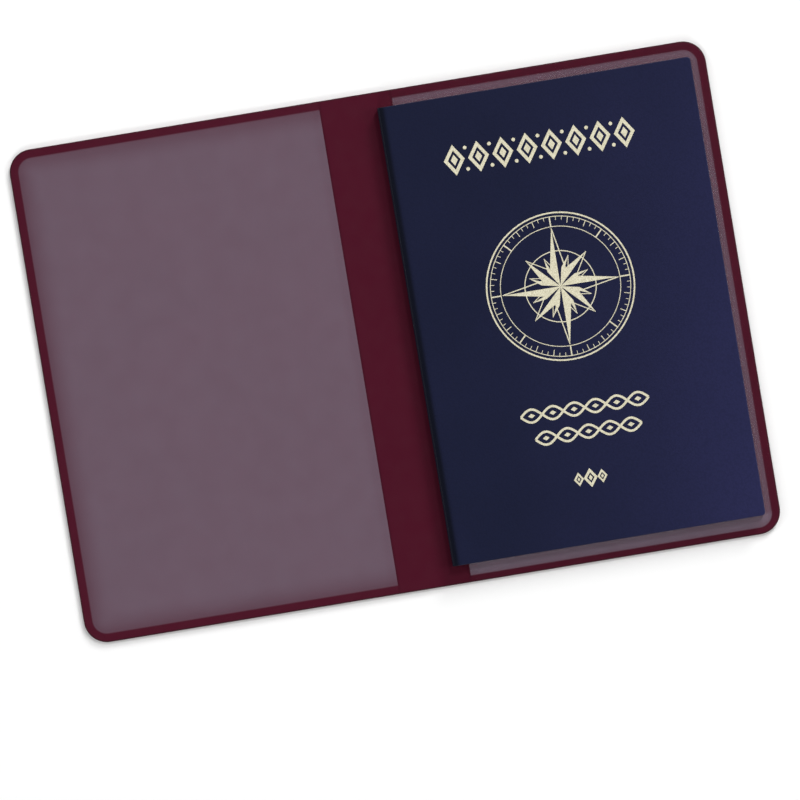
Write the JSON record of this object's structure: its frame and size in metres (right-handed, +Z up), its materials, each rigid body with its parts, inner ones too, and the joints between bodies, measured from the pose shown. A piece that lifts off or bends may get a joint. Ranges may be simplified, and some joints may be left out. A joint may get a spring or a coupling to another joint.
{
  "type": "passport holder wallet",
  "caption": "Folding welded-vinyl passport cover with a clear pocket in each half and a travel booklet tucked into one pocket; folds shut like a book.",
  "frame": {"origin": "centre of the open holder's underside, on the fold's centre line", "axes": "+X from the fold towards the half that holds the booklet, +Y towards the booklet's head, +Z up out of the pockets' side"},
  "size_m": [0.19, 0.1344, 0.0039],
  "materials": {
    "outer_vinyl": "smooth burgundy vinyl sheet, semi-gloss, with a welded bead and groove along its edges",
    "lining_vinyl": "thin burgundy vinyl lining, satin",
    "clear_film": "clear vinyl film with a slight milky haze, glossy",
    "booklet_cloth": "navy coated bookcloth with a fine leather grain and cream foil",
    "paper": "uncoated off-white paper",
    "thread": "waxed sewing thread"
  },
  "bodies": {
    "back_half": {"back_vinyl": "outer_vinyl", "back_lining": "lining_vinyl", "back_pocket_film": "clear_film", "booklet_back_cover": "booklet_cloth", "booklet_spine": "booklet_cloth", "booklet_front_cover": "booklet_cloth", "booklet_back_endpaper": "paper", "booklet_front_endpaper": "paper", "booklet_leaves": "paper", "booklet_thread": "thread"},
    "spine": {"spine_vinyl": "outer_vinyl", "spine_lining": "lining_vinyl"},
    "front_half": {"front_vinyl": "outer_vinyl", "front_lining": "lining_vinyl", "front_pocket_film": "clear_film"}
  },
  "joints": [
    {"name": "spine_fold", "type": "hinge", "parent": "back_half", "child": "spine", "pos_m": [0.0013, 0, 0.00123], "axis": [0, 1, 0], "range_deg": [0, 90]},
    {"name": "cover_fold", "type": "hinge", "parent": "spine", "child": "front_half", "pos_m": [-0.0013, 0, 0.00123], "axis": [0, 1, 0], "range_deg": [0, 90]}
  ],
  "couplings": [
    {"joint": "cover_fold", "follows": "spine_fold", "ratio": 1}
  ]
}
